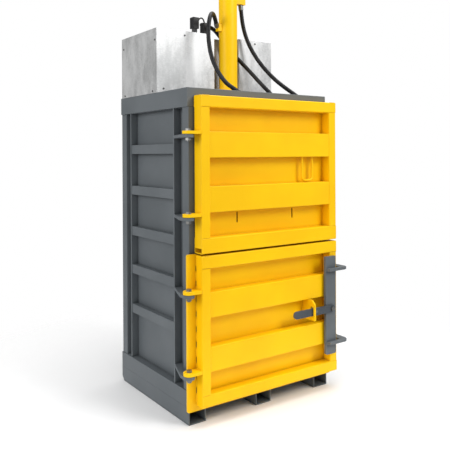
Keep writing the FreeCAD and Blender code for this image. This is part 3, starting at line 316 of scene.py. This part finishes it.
# %% Galvanised sheet
def galvanised_sheet():
    finish = Finish("galvanised_sheet")
    crystals = finish.node("ShaderNodeTexVoronoi", {"feature": "F1"},
                           {"Vector": finish.place(), "Scale": 75.0}, output=1)
    patch = finish.node("ShaderNodeSeparateColor", {}, {0: crystals})
    rolled = finish.noise(60.0, 3.0, 0.5, stretch=(1, 1, 14))
    # Broad upright smears vary the gloss and, in the colour, stand partly for mottled zinc
    # and partly for painted reflection bands.
    smears_and_reflection_bands = finish.noise(7.0, 5.0, 0.6, stretch=(1, 1, 0.35))
    tint = patch * 0.07 + rolled * 0.30 + smears_and_reflection_bands * 1.1
    # Inside corners and crevices darken toward a dark grey: painted shade.
    dust_and_corner_shade = finish.corners(0.05) * 0.7
    sheet = finish.mix(tint.between(0.50, 0.92), (0.38, 0.385, 0.385, 1),
                       (0.66, 0.665, 0.665, 1))
    finish.set(Base_Color=finish.mix(dust_and_corner_shade, sheet, (0.16, 0.16, 0.155, 1)),
               Metallic=0.5, Roughness=patch * 0.06 + smears_and_reflection_bands * 0.22 + 0.27)
    finish.bump(rolled, 0.05, 0.0004)
    return finish.material


SHEET = galvanised_sheet()


def bare_metal(name, colour, roughness, metallic=1.0):
    """Turned or plated steel, with fine scratches and uneven gloss."""
    finish = Finish(name)
    scratches = finish.noise(220.0, 4.0, 0.6, stretch=(1, 1, 6))
    cloud = finish.noise(18.0, 4.0)
    dark = tuple(c * 0.8 for c in colour[:3]) + (1,)
    finish.set(Base_Color=finish.mix(cloud.between(0.3, 0.7), dark, colour),
               Metallic=metallic, Roughness=scratches * 0.16 + (roughness - 0.08))
    finish.bump(scratches, 0.06, 0.0003)
    return finish.material


ZINC = bare_metal("zinc_plate", (0.25, 0.25, 0.24, 1), 0.42)
SCREW_ZINC = bare_metal("dark_screw_zinc", (0.10, 0.10, 0.10, 1), 0.45, 0.7)
STEEL = bare_metal("machined_steel", (0.42, 0.43, 0.45, 1), 0.32)
CHROME = bare_metal("hard_chrome", (0.82, 0.83, 0.85, 1), 0.12)
print("metals", SHEET.name, ZINC.name, STEEL.name, CHROME.name)

# %% [markdown]
# Hose rubber is black and slightly grey where dust sits, with the weave of the steel wire
# showing faintly through the cover. The moulded coils are the same black but finer.

# %% Rubber and moulded plastic
def black_rubber(name, grain, roughness):
    finish = Finish(name)
    weave = finish.noise(grain, 2.0)
    dust_and_corner_shade = finish.noise(14.0, 5.0, 0.6)
    finish.set(Base_Color=finish.mix(dust_and_corner_shade.between(0.45, 0.75), (0.005, 0.005, 0.006, 1),
                                     (0.018, 0.018, 0.019, 1)),
               Roughness=dust_and_corner_shade * 0.16 + (roughness - 0.08))
    finish.shader.inputs["Specular IOR Level"].default_value = 0.3
    finish.bump(weave, 0.18, 0.0006)
    return finish.material


RUBBER = black_rubber("hose_rubber", 320.0, 0.46)
COIL = black_rubber("moulded_coil", 900.0, 0.4)
for cord in cords.values():
    cord.data.materials.append(RUBBER)

FINISH_OF_SLOT = {"yellow": YELLOW, "grey": GREY, "sheet": SHEET, "zinc": ZINC,
                  "chrome": CHROME, "rubber": RUBBER, "black": COIL, "steel": STEEL,
                  "motor": MACHINE_BLUE}
slot_of = {p["node"]: p["material_slot"] for p in frame["record"]["subparts"]}
for name, cad_object in nodes.items():
    cad_object.data.materials.clear()
    cad_object.data.materials.append(FINISH_OF_SLOT[slot_of[name]])
nodes["cover_screws"].data.materials[0] = SCREW_ZINC
nodes["lock_lever"].data.materials[0] = LEVER_GREY
print("finishes on", len(nodes), "nodes")

# %% [markdown]
# The machine is welded from hollow sections and plate, and the paint follows every bead. A
# bead is a row of overlapping round ripples, each a puddle of metal that froze. Here a
# bead is a thin tube whose radius swells and shrinks along its length. A bump map could
# fake it, but a real shape also catches light at the edge of the part.

# %% Weld beads
RIPPLE = 0.0045  # length of one ripple, in metres like every size here
SUNK = 0.001  # how far a bead's middle lies in the steel
MERGE_DISTANCE = 0.00005
BEAD_SIDES = 10
BEAD_RINGS = (0.80, 0.97, 1.0, 0.90)


def add_bead(bm, start, end, radius):
    """Adds one rippled bead between two points to a mesh."""
    start, end = Vector(start), Vector(end)
    along = (end - start).normalized()
    side = along.orthogonal().normalized()
    up = along.cross(side)
    count = max(2, round((end - start).length / RIPPLE)) * len(BEAD_RINGS)
    rings = []
    for i in range(count + 1):
        taper = min(1.0, 0.35 + 0.25 * min(i, count - i))
        swell = radius * BEAD_RINGS[i % len(BEAD_RINGS)] * taper
        middle = start.lerp(end, i / count)
        turns = [2 * math.pi * k / BEAD_SIDES for k in range(BEAD_SIDES)]
        rings.append([bm.verts.new(middle + side * (swell * math.cos(t))
                                   + up * (swell * math.sin(t))) for t in turns])
    for one, two in zip(rings, rings[1:]):
        for k in range(BEAD_SIDES):
            n = (k + 1) % BEAD_SIDES
            bm.faces.new((one[k], one[n], two[n], two[k]))
    bm.faces.new(rings[0][::-1])
    bm.faces.new(rings[-1])


def weld(name, body, slot, beads, radius):
    """One painted object that holds several beads of one radius."""
    bm = bmesh.new()
    for start, end in beads:
        add_bead(bm, start, end, radius)
    bmesh.ops.recalc_face_normals(bm, faces=bm.faces)
    for face in bm.faces:
        face.smooth = True
    mesh = bpy.data.meshes.new(name)
    bm.to_mesh(mesh)
    bm.free()
    mesh.materials.append(FINISH_OF_SLOT[slot])
    piece = bpy.data.objects.new(name, mesh)
    scene.collection.objects.link(piece)
    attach(piece, body)
    print(name, len(beads), "beads")


def solids_of(node):
    """The box of each separate solid in a CAD node, largest first."""
    bm = bmesh.new()
    bm.from_mesh(nodes[node].data)
    bmesh.ops.remove_doubles(bm, verts=bm.verts, dist=MERGE_DISTANCE)
    boxes, left = [], set(bm.verts)
    while left:
        seen = {left.pop()}
        front = list(seen)
        while front:
            for edge in front.pop().link_edges:
                for vertex in edge.verts:
                    if vertex not in seen:
                        seen.add(vertex)
                        front.append(vertex)
        left -= seen
        lows = Vector([min(v.co[i] for v in seen) for i in range(3)])
        highs = Vector([max(v.co[i] for v in seen) for i in range(3)])
        boxes.append((lows, highs))
    bm.free()
    return sorted(boxes, key=lambda b: -(b[1] - b[0]).length)


def upright_line(x, y, low, high):
    return (x, y, low), (x, y, high)


# %% [markdown]
# Where a rib meets the side of a stile there is a short upright bead at each end. The
# places come from the boxes of the ribs, so they follow the model if it changes.

# %% Welds on the doors
RIB_BEAD = 0.0030
RIB_END = 0.004
for door in ("upper_door", "lower_door"):
    beads = []
    for low, high in solids_of(door + "_ribs"):
        for x in (low.x, high.x):
            beads.append(upright_line(x, low.y + SUNK, low.z + RIB_END, high.z - RIB_END))
    weld(door + "_rib_welds", door, "yellow", beads, RIB_BEAD)

JOINT_BEAD = 0.0016
STILE = 0.060
RAIL_LENGTH = 0.9
JOINT_SUNK = 0.0008
MIDDLE_BAND = 0.1
for door in ("upper_door", "lower_door"):
    low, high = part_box(door + "_frame")
    rails = [b for b in solids_of(door + "_frame") if b[1].x - b[0].x > RAIL_LENGTH]
    beads = []
    for rail_low, rail_high in rails:
        is_bottom = rail_low.z < (low.z + high.z) / 2 - MIDDLE_BAND
        z = rail_high.z if is_bottom else rail_low.z
        front, side = low.y + JOINT_SUNK, low.x + JOINT_SUNK
        # The beads stop short of the rounded corners of the tubes.
        for x in (low.x + 0.006, high.x - STILE + 0.002):
            beads.append(((x, front, z), (x + STILE - 0.008, front, z)))
        beads.append(((side, low.y + 0.008, z), (side, high.y - 0.006, z)))
    weld(door + "_joint_welds", door, "yellow", beads, JOINT_BEAD)

# %% [markdown]
# The left stile of the lower door is held to its plate by short stitch welds. Between them
# the open seam lies in shade, which thin black strips paint as dark dashes.

# %% Stitch welds
STITCH = 0.045
STITCH_GAP = 0.045
STITCH_BEAD = 0.0045
SEAM_SHADOW_RADIUS = 0.0026
SEAM_SHADOW_INSET = 0.006
SEAM_START = 0.02
plate_low, plate_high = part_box("lower_door_plate")
frame_low, frame_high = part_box("lower_door_frame")
stitches, seam_shadow_strips, z = [], [], frame_low.z + SEAM_START
while z + STITCH + STITCH_GAP < frame_high.z:
    seam_x, seam_y, end = frame_low.x + SUNK, plate_low.y - SUNK, z + STITCH
    stitches.append(upright_line(seam_x, seam_y, z, end))
    seam_shadow_strips.append(upright_line(seam_x, seam_y, end + SEAM_SHADOW_INSET, end + STITCH_GAP - SEAM_SHADOW_INSET))
    z += STITCH + STITCH_GAP
weld("stile_stitch_welds", "lower_door", "yellow", stitches, STITCH_BEAD)
# Black strips in the open seam between the stitches: painted shadow.
weld("stile_seam_painted_shadow", "lower_door", "black", seam_shadow_strips, SEAM_SHADOW_RADIUS)

# %% [markdown]
# Each hinge lug is welded to the stile along its upper edge and up its front edge. A lug
# carries the whole door, so these beads are a little thicker than the ones on the ribs.

# %% Lug welds
LUG_BEAD = 0.0032
for door in ("upper_door", "lower_door"):
    beads = []
    for low, high in solids_of(door + "_lugs"):
        x = high.x - SUNK
        beads.append(((x, low.y + 0.004, high.z), (x, high.y - 0.004, high.z)))
        beads.append(upright_line(x, low.y, low.z + 0.002, high.z - 0.002))
    weld(door + "_lug_welds", door, "yellow", beads, LUG_BEAD)

# %% [markdown]
# The body's ribs are welded along both upright ends, and the cylinder's flange all round
# the barrel. The flange bead is a ring of short straight pieces that overlap.

# %% Welds on the body
BODY_BEAD = 0.0026
BODY_RIB_END = 0.003
FLANGE_BEAD = 0.0045
FLANGE_STEPS = 36
side_beads = []
for low, high in solids_of("side_ribs"):
    face = low.x if low.x < 0 else high.x
    inward = SUNK if face < 0 else -SUNK
    for y in (low.y, high.y):
        side_beads.append(upright_line(face + inward, y, low.z + BODY_RIB_END,
                                       high.z - BODY_RIB_END))
weld("side_rib_welds", "frame", "grey", side_beads, BODY_BEAD)

rear_beads = []
for low, high in solids_of("rear_ribs"):
    for x in (low.x, high.x):
        rear_beads.append(upright_line(x, high.y - SUNK, low.z + BODY_RIB_END,
                                       high.z - BODY_RIB_END))
weld("rear_rib_welds", "frame", "grey", rear_beads, BODY_BEAD)

flange_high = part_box("cylinder_flange")[1]
barrel_low, barrel_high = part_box("cylinder_barrel")
axis = (barrel_low + barrel_high) / 2
barrel_radius = (barrel_high.x - barrel_low.x) / 2
turns = [2 * math.pi * k / FLANGE_STEPS for k in range(FLANGE_STEPS + 1)]
ring = [Vector((axis.x + barrel_radius * math.cos(a), axis.y + barrel_radius * math.sin(a),
                flange_high.z)) for a in turns]
weld("flange_weld", "frame", "yellow", list(zip(ring, ring[1:])), FLANGE_BEAD)

# %% [markdown]
# The floor is a wide pale sheet that fades out away from the machine. Three large soft
# boxes light it, as in a product studio: a key high at the front right, a fill from the
# left and a wide one overhead. Large area lamps give the soft shadow edge. A sun lamp
# would be simpler, but its shadow would be hard.

# %% Floor and lights
FLOOR_SIZE = 30.0
FLOOR_DROP = 0.0005
FADE_FROM, FADE_TO = 1.3, 2.6
AIR_LIGHT, BACKDROP_LIGHT = 0.44, 1.0


def studio_floor():
    mesh = bpy.data.meshes.new("studio_floor")
    bm = bmesh.new()
    bmesh.ops.create_grid(bm, x_segments=8, y_segments=8, size=FLOOR_SIZE)
    bm.to_mesh(mesh)
    bm.free()
    floor = bpy.data.objects.new("studio_floor", mesh)
    floor.location.z = CAD_BOX[0][2] - FLOOR_DROP
    scene.collection.objects.link(floor)
    paper = Finish("pale_floor")
    tone = paper.noise(0.6, 2.0)
    reach = paper.node("ShaderNodeVectorMath", {"operation": "LENGTH"},
                       {0: paper.place()}, output=1)
    paper.set(Base_Color=paper.mix(tone, (0.93, 0.93, 0.93, 1), (0.95, 0.95, 0.95, 1)),
              Roughness=0.85, Alpha=1.0 - reach.between(FADE_FROM, FADE_TO))
    paper.shader.inputs["Specular IOR Level"].default_value = 0.1
    mesh.materials.append(paper.material)


def soft_box(name, place, aim, size, power):
    lamp = bpy.data.lights.new(name, "AREA")
    lamp.shape = "RECTANGLE"
    lamp.size, lamp.size_y = size
    lamp.energy = power
    lamp_object = bpy.data.objects.new(name, lamp)
    lamp_object.location = place
    turn = (Vector(aim) - Vector(place)).to_track_quat("-Z", "Y")
    lamp_object.rotation_euler = turn.to_euler()
    scene.collection.objects.link(lamp_object)


studio_floor()
MIDDLE = (0.0, 0.0, 1.2)
soft_box("key_front_right", (2.4, -5.4, 5.0), MIDDLE, (2.6, 2.6), 235)
soft_box("fill_left", (-6.5, -1.0, 3.2), MIDDLE, (3.5, 3.5), 210)
soft_box("top", (0.5, -0.5, 7.0), MIDDLE, (5.0, 5.0), 340)


def studio_air(light, backdrop):
    """White paper behind everything, and a dimmer white light from all round."""
    world = bpy.data.worlds.new("studio_air")
    world.use_nodes = True
    tree = world.node_tree
    background = tree.nodes["Background"]
    background.inputs["Color"].default_value = (1.0, 1.0, 1.0, 1)
    seen = tree.nodes.new("ShaderNodeLightPath")
    level = tree.nodes.new("ShaderNodeMapRange")
    tree.links.new(seen.outputs["Is Camera Ray"], level.inputs["Value"])
    level.inputs["To Min"].default_value = light
    level.inputs["To Max"].default_value = backdrop
    tree.links.new(level.outputs["Result"], background.inputs["Strength"])
    scene.world = world


studio_air(AIR_LIGHT, BACKDROP_LIGHT)
scene.view_settings.view_transform = "Standard"
